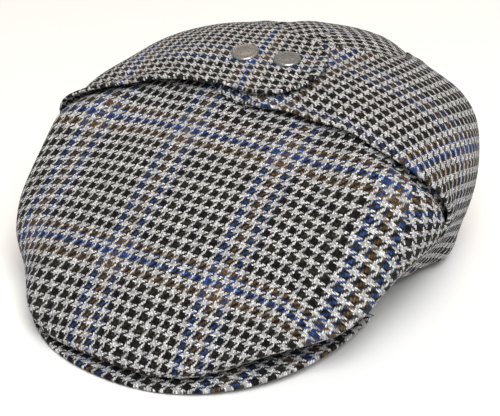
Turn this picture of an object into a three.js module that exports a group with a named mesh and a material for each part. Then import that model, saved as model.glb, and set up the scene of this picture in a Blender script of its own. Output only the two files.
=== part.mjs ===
// A tweed flat cap with earflaps: a hollow crown over a stiff peak, and two flaps that are folded up
// over the crown and held together on top by two round snaps.
// Millimetres, +Z up. The peak points along -Y, the wearer's left is +X, and the cap stands on z = 0.
import * as THREE from "three";
import { mergeVertices } from "three/addons/utils/BufferGeometryUtils.js";

// Driving dimensions
const CLOTH = 2.2; // wall of the crown: tweed with its backing
const FLAP = 3.4; // a flap is two layers of tweed round a thin pad
const GAP = 0.85; // air between pieces that lie on each other, wide enough for their flat facets
const CROWN_TOP = 99; // height of the crown under the flaps
const CROWN_AXIS_Y = 45; // the vertical axis that the crown's sections turn round
const TOP_EASE = 30; // radius over which the sections flatten out to meet at the top
const PEAK_HALF_WIDTH = 88;
const PEAK_FRONT_Y = -127;
const PEAK_BACK_Y = -25; // where the ends of the peak meet the flaps
const PEAK_POWER = 2.3; // an ellipse at 2, squarer above
const PEAK_THICK = 4.2;
const PEAK_FLAT = 4; // the front of the peak lies flat for this far
const PEAK_RISE = 0.09; // and then climbs this much for each millimetre towards the back
const PEAK_INNER_HALF_WIDTH = 78; // the peak's inner edge, where the head goes in
const PEAK_INNER_Y = -76;

// Crown sections: each is a half-plane through the axis at an angle from +X, the back being at 90.
// rimR, rimZ is the lower edge, wideR, wideZ the widest point; power rounds the top between a cone (1)
// and a box (3), and tuck draws the wall in under the widest point.
const CROWN_SECTIONS = [
  { angle: -90, rimR: 164, rimZ: 6, wideR: 171, wideZ: 13, power: 1.3, tuck: 0 },
  { angle: -75, rimR: 159, rimZ: 6.5, wideR: 168, wideZ: 15, power: 1.32, tuck: 0 },
  { angle: -60, rimR: 140, rimZ: 10, wideR: 156, wideZ: 21, power: 1.42, tuck: 0.3 },
  { angle: -50, rimR: 116, rimZ: 13, wideR: 143, wideZ: 32, power: 1.6, tuck: 1 },
  { angle: -40, rimR: 98, rimZ: 15, wideR: 128, wideZ: 48, power: 1.95, tuck: 1 },
  { angle: -28, rimR: 91, rimZ: 12, wideR: 116, wideZ: 56, power: 2.45, tuck: 1 },
  { angle: -12, rimR: 87, rimZ: 9, wideR: 104, wideZ: 55, power: 2.75, tuck: 0.7 },
  { angle: 10, rimR: 85, rimZ: 4, wideR: 96, wideZ: 54, power: 2.6, tuck: 0.3 },
  { angle: 35, rimR: 80, rimZ: 0, wideR: 90, wideZ: 54, power: 2.5, tuck: 0 },
  { angle: 70, rimR: 70, rimZ: 0, wideR: 82, wideZ: 54, power: 2.5, tuck: 0 },
  { angle: 90, rimR: 68, rimZ: 0, wideR: 82, wideZ: 54, power: 2.5, tuck: 0 },
];
const WIDE_AT = 0.22; // the share of a section's steps that lie below its widest point
const SECTION_STEPS = 48;

// The crown puffs out ahead of the flaps: height of the puff against |a|, the sideways disk place.
const PUFF = [
  { a: 0, height: 1 },
  { a: 0.3, height: 3 },
  { a: 0.5, height: 8 },
  { a: 0.7, height: 7 },
  { a: 0.9, height: 4 },
  { a: 1, height: 0 },
];
const PUFF_START = 0.04; // how far ahead of the flap's edge the puff begins, on the disk
const PUFF_WIDTH = 0.12;
const PUFF_RIM = 0.15; // and how near the rim it ends
// The crown also bulges up through the opening that the flaps leave behind their tabs.
const BULGE = { b: 0.25, radius: 0.22, height: 10 };

const BACK_SEAM = 0.004; // half the gap between the flaps at the middle of the back
const FOOT_ANGLE = THREE.MathUtils.degToRad(-39); // where a flap's front edge starts on the rim
const FLAP_FOOT = { a: Math.cos(FOOT_ANGLE), b: Math.sin(FOOT_ANGLE) };
// A flap's edges on the disk, with a taken outwards on its own side: the front edge up from the peak's
// end to the tab, and the back edge up the middle of the back and forward to the tab.
const FRONT_OF_LEFT = [
  FLAP_FOOT,
  { a: 0.83, b: -0.46 },
  { a: 0.77, b: -0.32 },
  { a: 0.71, b: -0.22 },
  { a: 0.62, b: -0.24 },
  { a: 0.5, b: -0.27 },
  { a: 0.3, b: -0.25 },
  { a: 0.13, b: -0.22 },
  { a: BACK_SEAM, b: -0.22 },
];
const FRONT_OF_RIGHT = [
  FLAP_FOOT,
  { a: 0.83, b: -0.52 },
  { a: 0.78, b: -0.44 },
  { a: 0.69, b: -0.39 },
  { a: 0.58, b: -0.38 },
  { a: 0.48, b: -0.36 },
  { a: 0.36, b: -0.31 },
  { a: 0.2, b: -0.24 },
  { a: BACK_SEAM, b: -0.22 },
];
const FLAP_CORNER = 3; // the row where a front edge turns down the side
const FLAP_BACK = [
  { a: BACK_SEAM, b: 1 },
  { a: BACK_SEAM, b: 0.8 },
  { a: BACK_SEAM, b: 0.62 },
  { a: 0.12, b: 0.51 },
  { a: 0.22, b: 0.33 },
  { a: 0.2, b: 0.16 },
  { a: 0.12, b: 0.07 },
  { a: BACK_SEAM, b: 0.03 },
];
// Each flap's side, its front edge, how far its tab passes the middle and whether it lies on the other.
const FLAPS = [
  { name: "earflap_left", side: 1, front: FRONT_OF_LEFT, tab: 0.2, over: false },
  { name: "earflap_right", side: -1, front: FRONT_OF_RIGHT, tab: 0.14, over: true },
];
const STACK_FROM = 0.4; // the upper flap climbs onto the lower one between these distances
const STACK_TO = 0.22; // from the middle, on the disk
const STACK_BACK_FROM = 0.1; // and lies on the crown again between these, towards the back
const STACK_BACK_TO = 0.35;
const SNAPS = [
  { name: "snap_cap_inner", a: -0.1, b: -0.1 },
  { name: "snap_cap_outer", a: 0.015, b: -0.08 },
];

const CROWN_ROUND = 64;
const CROWN_RINGS = 21;
const RING_CROWDING = 1.35; // rings lie closer together towards the rim
const FRONT_CROWDING = 0.35; // and sections towards the long front
const FLAP_ALONG = 25;
const FLAP_UP = 20;
const PEAK_ROUND = 36;
const PEAK_RINGS = 5;
const SNAP_ROUND = 20;
const NUDGE = 0.008; // step on the disk for finding a normal

const clamp = THREE.MathUtils.clamp;
const smoothstep = THREE.MathUtils.smoothstep;

// A cubic through one column of a table, level at both ends.
function smooth(rows, key, column, at) {
  const slope = (i) =>
    i === 0 || i === rows.length - 1
      ? 0
      : (rows[i + 1][column] - rows[i - 1][column]) / (rows[i + 1][key] - rows[i - 1][key]);
  let i = 0;
  while (i < rows.length - 2 && at > rows[i + 1][key]) i += 1;
  const step = rows[i + 1][key] - rows[i][key];
  const s = clamp((at - rows[i][key]) / step, 0, 1);
  const ease = s * s * (3 - 2 * s);
  const level = rows[i][column] * (1 - ease) + rows[i + 1][column] * ease;
  const lean = slope(i) * s * (1 - s) ** 2 - slope(i + 1) * s * s * (1 - s);
  return level + step * lean;
}

// One section of the crown as points from the rim to the top, each { r, z, run }, run being the
// length of cloth from the rim.
function crownSection(angle) {
  const at = (column) => smooth(CROWN_SECTIONS, "angle", column, angle);
  const rimR = at("rimR");
  const rimZ = Math.max(at("rimZ"), 0);
  const wideR = at("wideR");
  const wideZ = at("wideZ");
  const power = at("power");
  const tuck = at("tuck");
  const tall = CROWN_TOP - wideZ;
  const drop = (r) => tall * (1 - Math.max(1 - (r / wideR) ** power, 0) ** (1 / power));
  const spare = drop(TOP_EASE);
  const points = [];
  for (let k = 0; k <= SECTION_STEPS; k += 1) {
    const t = k / SECTION_STEPS;
    let r;
    let z;
    if (t < WIDE_AT) {
      const climb = t / WIDE_AT;
      const bowed = Math.sin((climb * Math.PI) / 2);
      const drawn = climb * climb * (3 - 2 * climb);
      r = rimR + (wideR - rimR) * THREE.MathUtils.lerp(bowed, drawn, tuck);
      z = rimZ + (wideZ - rimZ) * climb;
    } else {
      const turn = (((t - WIDE_AT) / (1 - WIDE_AT)) * Math.PI) / 2;
      r = wideR * Math.max(Math.cos(turn), 0) ** (2 / power);
      const eased = Math.hypot(r, TOP_EASE * Math.sqrt(1 - (r / wideR) ** 2));
      z = CROWN_TOP - ((drop(eased) - spare) * tall) / (tall - spare);
    }
    const last = points[k - 1];
    const run = last ? last.run + Math.hypot(r - last.r, z - last.z) : 0;
    points.push({ r, z, run });
  }
  return points;
}

// The crown is described on a disk: (a, b) with the rim at radius 1, the top at 0, and the front at -b.
function dome(a, b) {
  const points = crownSection(THREE.MathUtils.radToDeg(Math.atan2(b, Math.abs(a))));
  const run = (1 - Math.hypot(a, b)) * points[SECTION_STEPS].run;
  let k = 0;
  while (k < SECTION_STEPS - 1 && points[k + 1].run < run) k += 1;
  const share = clamp((run - points[k].run) / (points[k + 1].run - points[k].run), 0, 1);
  const r = THREE.MathUtils.lerp(points[k].r, points[k + 1].r, share);
  const z = THREE.MathUtils.lerp(points[k].z, points[k + 1].z, share);
  const turn = Math.atan2(b, a);
  return new THREE.Vector3(r * Math.cos(turn), CROWN_AXIS_Y + r * Math.sin(turn), z);
}

// Outward normal of a surface that is given on the disk; it is taken just inside the rim.
function normalOf(surface, a, b) {
  const inside = Math.min(1, (1 - 2 * NUDGE) / Math.max(Math.hypot(a, b), NUDGE));
  const u = a * inside;
  const v = b * inside;
  const across = surface(u + NUDGE, v).sub(surface(u - NUDGE, v));
  const back = surface(u, v + NUDGE).sub(surface(u, v - NUDGE));
  return across.cross(back).normalize();
}

// How far a place on the disk lies ahead of the flap on its side.
function aheadOfFlap(a, b) {
  const front = a < 0 ? FRONT_OF_RIGHT : FRONT_OF_LEFT;
  const side = front.slice(0, FLAP_CORNER + 1);
  const over = front.slice(FLAP_CORNER).reverse();
  const underTop = smooth(over, "a", "b", Math.abs(a)) - b;
  const insideSide = smooth(side, "b", "a", b) - Math.abs(a);
  return Math.min(underTop, insideSide);
}

// The crown's outside: the dome with the puff ahead of the flaps and the bulge between them.
function crownSkin(a, b) {
  const ahead = (aheadOfFlap(a, b) - PUFF_START) / PUFF_WIDTH;
  const rise = Math.sin((clamp(ahead, 0, 1) * Math.PI) / 2);
  const hold = clamp((1 - Math.hypot(a, b)) / PUFF_RIM, 0, 1);
  const puff = smooth(PUFF, "a", "height", Math.abs(a)) * rise * hold;
  const off = clamp(Math.hypot(a, b - BULGE.b) / BULGE.radius, 0, 1);
  const bulge = BULGE.height * (1 - off * off) ** 2;
  return dome(a, b).addScaledVector(normalOf(dome, a, b), puff + bulge);
}

// A closed solid between two grids of points, each cell split along its shorter diagonal. It wraps
// round where the columns close on themselves.
function sheetSolid(outer, inner, wraps) {
  const corners = [];
  const triangle = (p, q, r) => {
    const same = p.distanceTo(q) < 1e-4 || q.distanceTo(r) < 1e-4 || r.distanceTo(p) < 1e-4;
    if (!same) corners.push(...p, ...q, ...r);
  };
  const quad = (p, q, r, s) => {
    const turned = q.distanceTo(s) < p.distanceTo(r);
    triangle(p, q, turned ? s : r);
    triangle(turned ? q : p, r, s);
  };
  const rows = outer.length;
  const columns = outer[0].length;
  for (let j = 0; j < (wraps ? columns : columns - 1); j += 1) {
    const k = (j + 1) % columns;
    for (let i = 0; i < rows - 1; i += 1) {
      quad(outer[i][j], outer[i][k], outer[i + 1][k], outer[i + 1][j]);
      quad(inner[i][k], inner[i][j], inner[i + 1][j], inner[i + 1][k]);
    }
    quad(inner[0][j], inner[0][k], outer[0][k], outer[0][j]);
    if (!wraps) quad(outer[rows - 1][j], outer[rows - 1][k], inner[rows - 1][k], inner[rows - 1][j]);
  }
  for (let i = 0; i < rows - 1 && !wraps; i += 1) {
    const end = columns - 1;
    quad(inner[i][0], outer[i][0], outer[i + 1][0], inner[i + 1][0]);
    quad(outer[i][end], inner[i][end], inner[i + 1][end], outer[i + 1][end]);
  }
  const geometry = new THREE.BufferGeometry();
  geometry.setAttribute("position", new THREE.Float32BufferAttribute(corners, 3));
  const merged = mergeVertices(geometry, 1e-3);
  merged.computeVertexNormals();
  return merged;
}

// The crown is open below. Its lower edge keeps its height through the wall, so that it stands flat.
function crownGeometry() {
  const outer = [];
  const inner = [];
  for (let i = 0; i <= CROWN_RINGS; i += 1) {
    const radius = 1 - (i / CROWN_RINGS) ** RING_CROWDING;
    const outerRow = [];
    const innerRow = [];
    for (let j = 0; j < CROWN_ROUND; j += 1) {
      const share = (2 * Math.PI * j) / CROWN_ROUND;
      const turn = share - FRONT_CROWDING * Math.sin(share) - Math.PI / 2;
      const a = radius * Math.cos(turn);
      const b = radius * Math.sin(turn);
      const point = crownSkin(a, b);
      const inward = normalOf(crownSkin, a, b).negate();
      if (i === 0) inward.setZ(0).normalize();
      outerRow.push(point);
      innerRow.push(point.clone().addScaledVector(inward, CLOTH));
    }
    outer.push(outerRow);
    inner.push(innerRow);
  }
  return sheetSolid(outer, inner, true);
}

// A point of a smooth edge through the rows of a table, at a share of its length.
function edgeCurve(rows) {
  const curve = new THREE.SplineCurve(rows.map((row) => new THREE.Vector2(row.a, row.b)));
  return (share) => {
    const point = curve.getPointAt(share);
    return point.setX(Math.max(point.x, BACK_SEAM));
  };
}

// A flap on the disk: a patch between its front and back edges, the crown's rim and its round tab.
function flapPatch(flap) {
  const front = edgeCurve(flap.front);
  const back = edgeCurve(FLAP_BACK);
  const rimFrom = Math.atan2(flap.front[0].b, flap.front[0].a);
  const rimTo = Math.atan2(FLAP_BACK[0].b, FLAP_BACK[0].a);
  const rim = (u) => {
    const turn = THREE.MathUtils.lerp(rimFrom, rimTo, u);
    return new THREE.Vector2(Math.cos(turn), Math.sin(turn));
  };
  const tabEnd = (u) => {
    const across = front(1).lerp(back(1), (1 - Math.cos(Math.PI * u)) / 2);
    return across.add(new THREE.Vector2(-flap.tab * Math.sin(Math.PI * u), 0));
  };
  return (u, v) => {
    const point = front(v).multiplyScalar(1 - u).addScaledVector(back(v), u);
    const low = rim(u).addScaledVector(rim(0), u - 1).addScaledVector(rim(1), -u);
    const high = tabEnd(u).addScaledVector(tabEnd(0), u - 1).addScaledVector(tabEnd(1), -u);
    return point.addScaledVector(low, 1 - v).addScaledVector(high, v);
  };
}

// How far a flap's inside lies off the dome: the upper flap climbs over the end of the lower one.
function flapLift(flap, a, b) {
  if (!flap.over) return GAP;
  const stacked = smoothstep(a, -STACK_FROM, -STACK_TO) * (1 - smoothstep(b, STACK_BACK_FROM, STACK_BACK_TO));
  return GAP + (FLAP + GAP) * stacked;
}

function flapGeometry(flap) {
  const patch = flapPatch(flap);
  const outer = [];
  const inner = [];
  for (let i = 0; i <= FLAP_UP; i += 1) {
    const outerRow = [];
    const innerRow = [];
    for (let j = 0; j <= FLAP_ALONG; j += 1) {
      const share = flap.side > 0 ? j / FLAP_ALONG : 1 - j / FLAP_ALONG;
      const place = patch(share, i / FLAP_UP);
      const a = place.x * flap.side;
      const point = dome(a, place.y);
      const out = normalOf(dome, a, place.y);
      if (i === 0) out.setZ(0).normalize();
      const lift = flapLift(flap, a, place.y);
      innerRow.push(point.clone().addScaledVector(out, lift));
      outerRow.push(point.clone().addScaledVector(out, lift + FLAP));
    }
    outer.push(outerRow);
    inner.push(innerRow);
  }
  return sheetSolid(outer, inner, false);
}

// The peak is a crescent between two squarish half ellipses, climbing from its front to its ends.
function peakGeometry() {
  const rows = { top: [], bottom: [] };
  for (let i = 0; i <= PEAK_RINGS; i += 1) {
    const share = i / PEAK_RINGS;
    const halfWidth = THREE.MathUtils.lerp(PEAK_HALF_WIDTH, PEAK_INNER_HALF_WIDTH, share);
    const length = PEAK_BACK_Y - THREE.MathUtils.lerp(PEAK_FRONT_Y, PEAK_INNER_Y, share);
    const top = [];
    const bottom = [];
    for (let j = 0; j <= PEAK_ROUND; j += 1) {
      const turn = (Math.PI * j) / PEAK_ROUND;
      const side = Math.sign(Math.cos(turn)) * Math.abs(Math.cos(turn)) ** (2 / PEAK_POWER);
      const x = -halfWidth * side;
      const y = PEAK_BACK_Y - length * Math.sin(turn) ** (2 / PEAK_POWER);
      const z = Math.max(y - PEAK_FRONT_Y - PEAK_FLAT, 0) * PEAK_RISE;
      top.push(new THREE.Vector3(x, y, z + PEAK_THICK));
      bottom.push(new THREE.Vector3(x, y, z));
    }
    rows.top.push(top);
    rows.bottom.push(bottom);
  }
  return sheetSolid(rows.top, rows.bottom, false);
}

// A snap cap: a shallow dome inside a rolled rim, turned round its own +Z and flat below.
const SNAP_TOP = [
  { radius: 6.9, height: 0 },
  { radius: 7.5, height: 0.9 },
  { radius: 6.8, height: 1.9 },
  { radius: 5.9, height: 1.8 },
  { radius: 3.4, height: 2.2 },
  { radius: 0, height: 2.4 },
];
function snapGeometry() {
  const rows = (height) =>
    SNAP_TOP.map((row, i) => {
      const radius = height ? row.radius : SNAP_TOP[0].radius * (1 - i / (SNAP_TOP.length - 1));
      return Array.from({ length: SNAP_ROUND }, (_, j) => {
        const turn = (2 * Math.PI * j) / SNAP_ROUND;
        return new THREE.Vector3(radius * Math.cos(turn), radius * Math.sin(turn), height ? row.height : 0);
      });
    });
  return sheetSolid(rows(true), rows(false), true);
}

const tweed = new THREE.MeshStandardMaterial({ color: 0x6f6b66, roughness: 0.95, metalness: 0 });
const pewter = new THREE.MeshStandardMaterial({ color: 0xa9a59c, roughness: 0.35, metalness: 1 });

function named(name, geometry, material) {
  const mesh = new THREE.Mesh(geometry, material.clone());
  mesh.name = name;
  return mesh;
}

const cap = new THREE.Group();
cap.add(named("crown", crownGeometry(), tweed));
cap.add(named("peak", peakGeometry(), tweed));
for (const flap of FLAPS) cap.add(named(flap.name, flapGeometry(flap), tweed));
const upper = FLAPS.find((flap) => flap.over);
for (const snap of SNAPS) {
  const mesh = named(snap.name, snapGeometry(), pewter);
  const out = normalOf(dome, snap.a, snap.b);
  const height = flapLift(upper, snap.a, snap.b) + FLAP + GAP;
  mesh.position.copy(dome(snap.a, snap.b)).addScaledVector(out, height);
  mesh.quaternion.setFromUnitVectors(new THREE.Vector3(0, 0, 1), out);
  cap.add(mesh);
}

// Stand the cap on the origin, over the middle of its own box.
const box = new THREE.Box3().setFromObject(cap, true);
const middle = box.getCenter(new THREE.Vector3());
cap.position.set(-middle.x, -middle.y, -box.min.z);
cap.updateMatrixWorld(true);

export default cap;
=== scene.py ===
# %% [markdown]
# # A tweed cap with earflaps
# The plain solids of a flat cap are the frame of this lesson. Each cloth piece is made new around them,
# as a sheet that is bent, padded and laid in the weave's own direction, and the metal snaps are turned
# from a disc. Blender works in metres, and the shapes are worked out in millimetres first.

import math

import bpy
import numpy as np
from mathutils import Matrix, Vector


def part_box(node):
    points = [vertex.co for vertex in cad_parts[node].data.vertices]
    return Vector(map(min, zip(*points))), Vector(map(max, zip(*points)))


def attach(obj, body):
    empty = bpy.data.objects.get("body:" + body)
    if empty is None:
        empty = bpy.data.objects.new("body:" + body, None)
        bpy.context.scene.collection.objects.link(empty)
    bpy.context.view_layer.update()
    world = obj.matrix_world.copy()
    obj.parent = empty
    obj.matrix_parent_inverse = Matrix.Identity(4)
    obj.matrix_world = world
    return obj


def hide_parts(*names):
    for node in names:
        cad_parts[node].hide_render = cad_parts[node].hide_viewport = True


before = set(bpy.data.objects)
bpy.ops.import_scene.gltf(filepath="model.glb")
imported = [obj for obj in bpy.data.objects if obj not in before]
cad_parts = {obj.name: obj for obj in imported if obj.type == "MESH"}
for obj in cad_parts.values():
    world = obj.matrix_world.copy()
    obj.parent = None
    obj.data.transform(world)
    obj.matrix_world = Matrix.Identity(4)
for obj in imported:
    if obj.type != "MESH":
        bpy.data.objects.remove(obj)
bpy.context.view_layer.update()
peak_low, peak_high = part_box("peak")
# The solids are shaped with the cap's middle plane at x = 0 and the front of the peak at this y, and then
# centred on their box. SHIFT is that move in millimetres, read back from where the peak has come to lie.
PEAK_FRONT_Y = -127
SHIFT = np.array([(peak_low.x + peak_high.x) * 500, peak_low.y * 1000 - PEAK_FRONT_Y, 0])
print("nodes:", sorted(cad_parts), "shift in mm:", SHIFT.round(2))

# %% [markdown]
# ## Camera
# The cap is seen from its front and from the wearer's left, a little from above. A long lens about
# 0.7 m away gives the same mild perspective as the photograph. The small lens shift sets the cap in
# the frame without turning the camera.

# %% Camera
AZIMUTH = math.radians(34)
ELEVATION = math.radians(29)
DISTANCE = 0.72
AIM_HEIGHT = 0.045
aim = Vector((SHIFT[0] / 1000, SHIFT[1] / 1000, AIM_HEIGHT))
level = math.cos(ELEVATION)
back = Vector((math.sin(AZIMUTH) * level, -math.cos(AZIMUTH) * level, math.sin(ELEVATION)))
tilt = (math.pi / 2 - ELEVATION, 0, AZIMUTH)
bpy.ops.object.camera_add(location=aim + back * DISTANCE, rotation=tilt)
camera = bpy.context.object
camera.name = "camera"
camera.data.sensor_width = 36
camera.data.lens = 100.1
camera.data.shift_x = -0.002
camera.data.shift_y = -0.05
camera.data.clip_start = 0.01
bpy.context.scene.camera = camera
print("camera at", [round(v, 3) for v in camera.location])

# %% [markdown]
# ## Nodes and colours
# Two helpers serve every finish. Colours are written as the hex values that a screen shows, and a
# shader wants them linear, so one function converts them. Another adds a shader node, sets its
# options, and fills its sockets with numbers or with links.

# %% Helpers for materials


def colour(hex_value):
    """A screen colour such as #808080 as linear red, green, blue and alpha."""
    parts = [int(hex_value[k : k + 2], 16) / 255 for k in (1, 3, 5)]
    linear = [v / 12.92 if v <= 0.04045 else ((v + 0.055) / 1.055) ** 2.4 for v in parts]
    return (*linear, 1.0)


def node(tree, kind, inputs=None, **settings):
    """Adds a node. inputs fills its sockets by name or number: a socket is linked, a value is set."""
    made = tree.nodes.new("ShaderNode" + kind)
    for name, value in settings.items():
        setattr(made, name, value)
    for key, value in (inputs or {}).items():
        if isinstance(value, bpy.types.NodeSocket):
            tree.links.new(value, made.inputs[key])
        else:
            made.inputs[key].default_value = value
    return made


def new_material(name):
    """An empty node material and its output node."""
    material = bpy.data.materials.new(name)
    material.use_nodes = True
    material.node_tree.nodes.clear()
    return material, node(material.node_tree, "OutputMaterial")


print("helpers ready")

# %% [markdown]
# ## Table and light
# The cap stands on a plain white table. Such pictures are taken under large white panels, so that the
# cloth shows no hard shadow. Here the sky is a soft fill, one large panel high above the camera's right
# draws the dark lines under the edges, and a weaker, warmer one above the back lights the flaps. The sky
# alone would leave the cap flat.

# %% Table
TABLE_GRAIN_PER_M = 400.0  # grains about 2.5 mm across
scene = bpy.context.scene
scene.view_settings.view_transform = "Standard"
bpy.ops.object.select_all(action="DESELECT")
bpy.ops.mesh.primitive_plane_add(size=6)
floor = bpy.context.object
floor.name = "floor"
# Matt paint on a board scatters light evenly, so it shows the cap's soft shadow and no gloss.
table_paint, table_out = new_material("matt_white_table")
tree = table_paint.node_tree
places = node(tree, "TexCoord")
grain = node(tree, "TexNoise", {"Vector": places.outputs["Object"], "Scale": TABLE_GRAIN_PER_M})
bump = node(tree, "Bump", {"Strength": 0.05, "Distance": 0.0005, "Height": grain.outputs["Fac"]})
look = {"Base Color": colour("#fcfcfb"), "Roughness": 0.9, "Normal": bump.outputs[0]}
paint = node(tree, "BsdfPrincipled", look)
tree.links.new(paint.outputs[0], table_out.inputs["Surface"])
floor.data.materials.append(table_paint)
print("table:", floor.name)

# %% Light
SKY_STRENGTH = 0.41
CAP_MIDDLE = (0, 0, 0.04)
scene.world = bpy.data.worlds.new("white_studio")
scene.world.use_nodes = True
sky = scene.world.node_tree.nodes["Background"]
sky.inputs["Color"].default_value = colour("#ffffff")
sky.inputs["Strength"].default_value = SKY_STRENGTH


def panel(name, place, size, watts, tint):
    """A square soft lamp that faces the cap."""
    turn = (Vector(CAP_MIDDLE) - Vector(place)).to_track_quat("-Z", "Y").to_euler()
    bpy.ops.object.light_add(type="AREA", location=place, rotation=turn)
    lamp = bpy.context.object
    lamp.name = name
    lamp.data.size = size
    lamp.data.energy = watts
    lamp.data.color = colour(tint)[:3]


panel("key_panel", place=(0.78, -0.78, 1.7), size=1.1, watts=36, tint="#ffffff")
panel("top_panel", place=(-0.2, 0.5, 1.8), size=1.2, watts=6, tint="#ffd09a")

# %% [markdown]
# ## The dome of the crown
# A flat cap's crown is a flattened dome that leans forward over its peak. It could be sculpted, but
# numbers keep it true to the solid: upright sections through one axis, at eleven angles from the front
# (-90) round to the back (90), the same on both sides, with smooth curves between them. A place on the
# cloth is named on a disk: a runs sideways, b runs from the front (-1) to the back (1), the rim is at
# radius 1 and the top at 0.

# %% Dome sections
# Height of the top and place of the upright axis, in millimetres.
TOP_Z = 99
AXIS_Y = 45
# The pointed top that a low power gives is rounded off over this radius.
TOP_EASE = 30
# Radius and height of the rim and of the widest place, in millimetres, one for each angle. The dome above
# is an ellipse at a power of 2, squarer above it. A tuck of 1 draws the cloth below in with an S curve.
SECTION_ANGLE = [-90, -75, -60, -50, -40, -28, -12, 10, 35, 70, 90]
RIM_R = [169.5, 166, 146, 119, 98, 91, 87, 85, 80, 70, 68]
RIM_Z = [7.8, 8.6, 10.6, 12.4, 14, 12, 9, 4, 0, 0, 0]
WIDE_R = [171, 168, 156, 143, 128, 116, 104, 96, 90, 82, 82]
WIDE_Z = [11, 13.5, 20.5, 32, 48, 56, 55, 54, 54, 54, 54]
POWER = [1.3, 1.32, 1.42, 1.6, 1.95, 2.45, 2.75, 2.6, 2.5, 2.5, 2.5]
TUCK = [0, 0, 0.3, 1, 1, 1, 0.7, 0.3, 0, 0, 0]
# How finely a section is worked out below and above its widest place, and the steps of the table.
POINTS_BELOW = 60
POINTS_ABOVE = 220
ANGLE_STEPS = 720
SHARE_STEPS = 400


def through(xs, ys, at):
    """A smooth curve through the points of a table, level at both ends."""
    xs = np.array(xs, float)
    ys = np.array(ys, float)
    at = np.asarray(at, float)
    slope = np.zeros_like(ys)
    slope[1:-1] = (ys[2:] - ys[:-2]) / (xs[2:] - xs[:-2])
    i = np.clip(np.searchsorted(xs, at, side="left") - 1, 0, len(xs) - 2)
    step = xs[i + 1] - xs[i]
    s = np.clip((at - xs[i]) / step, 0, 1)
    ease = s * s * (3 - 2 * s)
    lean = slope[i] * s * (1 - s) ** 2 - slope[i + 1] * s * s * (1 - s)
    return ys[i] * (1 - ease) + ys[i + 1] * ease + step * lean


def section(angle):
    """One upright section: radius and height at equal lengths of cloth from the rim to the top."""
    rim_r, wide_r, wide_z, power, tuck = (
        float(through(SECTION_ANGLE, column, angle)) for column in (RIM_R, WIDE_R, WIDE_Z, POWER, TUCK)
    )
    rim_z = max(float(through(SECTION_ANGLE, RIM_Z, angle)), 0)
    low = np.linspace(0, 1, POINTS_BELOW, endpoint=False)
    bow = np.sin(low * np.pi / 2) * (1 - tuck) + low * low * (3 - 2 * low) * tuck
    high = np.linspace(0, np.pi / 2, POINTS_ABOVE)
    r = wide_r * np.clip(np.cos(high), 0, 1) ** (2 / power)
    tall = TOP_Z - wide_z

    def drop(radius):
        return tall * (1 - np.clip(1 - (radius / wide_r) ** power, 0, 1) ** (1 / power))

    eased = np.hypot(r, TOP_EASE * np.sqrt(np.clip(1 - (r / wide_r) ** 2, 0, 1)))
    fall = (drop(eased) - drop(TOP_EASE)) * tall / (tall - drop(TOP_EASE))
    r = np.concatenate([rim_r + (wide_r - rim_r) * bow, r])
    z = np.concatenate([rim_z + (wide_z - rim_z) * low, TOP_Z - fall])
    run = np.concatenate([[0], np.hypot(np.diff(r), np.diff(z)).cumsum()])
    shares = np.linspace(0, run[-1], SHARE_STEPS + 1)
    return np.interp(shares, run, r), np.interp(shares, run, z)


SECTIONS = np.array([section(angle) for angle in np.linspace(-90, 90, ANGLE_STEPS + 1)])
print("sections:", SECTIONS.shape[0], "front reach", SECTIONS[0, 0].max().round(1), "mm")

# %% [markdown]
# ## From the disk to the dome
# With the sections as a table, any place on the disk is found between its four neighbours. The outward
# normal comes from two short steps across the cloth, as one would feel a slope with two fingers.

# %% Dome and normal
# Soft lumps of worn cloth, each a place on the disk, a radius there and a height in millimetres. They push
# away from a point inside the cap.
LUMPS = [
    (-0.44, 0.05, 0.28, 3.5),
    (-0.54, -0.32, 0.2, 1.5),
    (-0.42, -0.88, 0.18, -3),
    (0.5, 0.28, 0.14, 1),
    (0.32, 0.37, 0.13, -1.5),
    (0.98, 0.03, 0.15, 2.5),
    (-0.05, -0.16, 0.2, 1.5),
    (-0.2, 0.12, 0.25, 1.5),
    (0.5, -0.86, 0.3, -8),
    (-0.25, -0.97, 0.25, 3),
]
INSIDE = np.array([0, AXIS_Y, 30])
# The cap lies a little askew. Its front has slipped to the wearer's right, by 2.1 mm at 172 mm ahead of the
# axis, and less behind that by the square of the distance.
ASKEW = 2.1 / 172**2


def dome(a, b):
    """The dome's places in millimetres for places on the disk."""
    turn = np.arctan2(b, a)
    row = (np.degrees(np.arctan2(b, np.abs(a))) + 90) * (ANGLE_STEPS / 180)
    column = np.clip(1 - np.hypot(a, b), 0, 1) * SHARE_STEPS
    i = np.clip(row.astype(int), 0, ANGLE_STEPS - 1)
    j = np.clip(column.astype(int), 0, SHARE_STEPS - 1)
    f = row - i
    g = column - j
    r, z = (
        (SECTIONS[i, k, j] * (1 - g) + SECTIONS[i, k, j + 1] * g) * (1 - f)
        + (SECTIONS[i + 1, k, j] * (1 - g) + SECTIONS[i + 1, k, j + 1] * g) * f
        for k in (0, 1)
    )
    place = np.stack([r * np.cos(turn), AXIS_Y + r * np.sin(turn), z], -1)
    out = place - INSIDE
    out /= np.linalg.norm(out, axis=-1, keepdims=True)
    lump = np.zeros_like(a)
    for lump_a, lump_b, radius, height in LUMPS:
        off = np.clip(np.hypot(a - lump_a, b - lump_b) / radius, 0, 1)
        lump += height * (1 - off * off) ** 2
    place = place + out * lump[..., None]
    place[..., 0] -= np.minimum(place[..., 1] - AXIS_Y, 0) ** 2 * ASKEW
    return place


def normal(surface, a, b, step=0.008):
    """Outward normals of a surface on the disk, taken just inside the rim."""
    inside = np.minimum(1, (1 - 2 * step) / np.maximum(np.hypot(a, b), step))
    a = a * inside
    b = b * inside
    across = surface(a + step, b) - surface(a - step, b)
    along = surface(a, b + step) - surface(a, b - step)
    n = np.cross(across, along)
    return n / np.maximum(np.linalg.norm(n, axis=-1, keepdims=True), 1e-9)


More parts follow.
